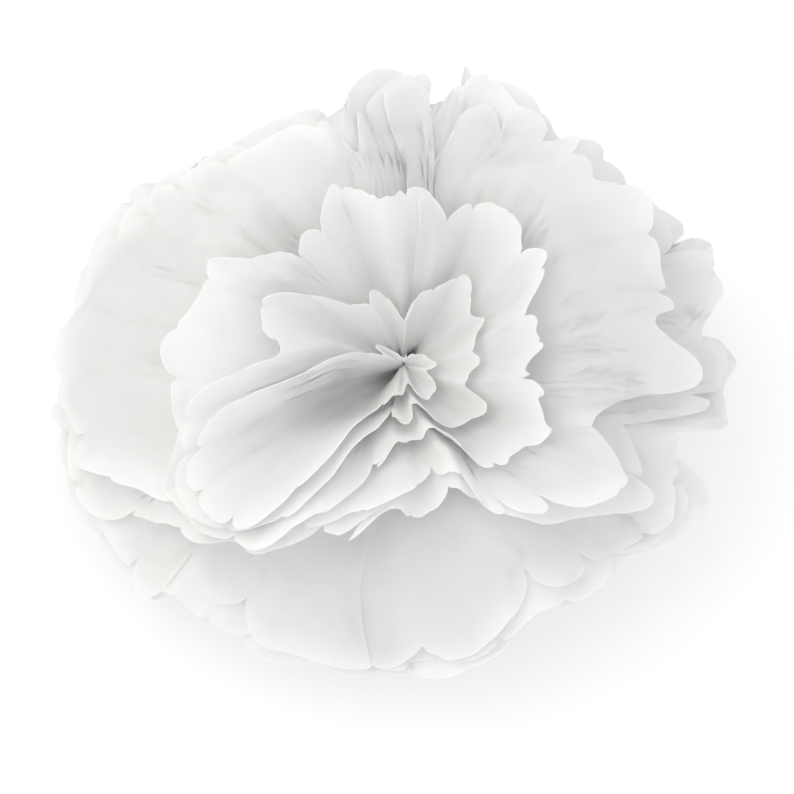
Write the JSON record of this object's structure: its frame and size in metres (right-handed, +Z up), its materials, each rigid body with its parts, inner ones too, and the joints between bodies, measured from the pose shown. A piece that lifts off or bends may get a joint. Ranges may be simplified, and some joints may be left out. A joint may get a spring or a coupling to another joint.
{
  "type": "paper flower",
  "caption": "Round white tissue paper flower: stacked accordion-folded sheets with scalloped ends, tied at the middle and fanned out into ruffled petals; a light decoration that lies or hangs.",
  "frame": {"origin": "middle of the flower's footprint, on the surface that its lowest folds lie on", "axes": "+Z up out of the heart, -Y to the front that the heart leans to, +X to the right"},
  "size_m": [0.2482, 0.2466, 0.1298],
  "materials": {
    "tissue": "matte, thin and a little see-through",
    "wire": "plain thin wire"
  },
  "bodies": {
    "root": {"sheet_1": "tissue", "sheet_2": "tissue", "sheet_3": "tissue", "sheet_4": "tissue", "sheet_5": "tissue", "sheet_6": "tissue", "sheet_7": "tissue", "sheet_8": "tissue", "tie": "wire"}
  },
  "joints": []
}
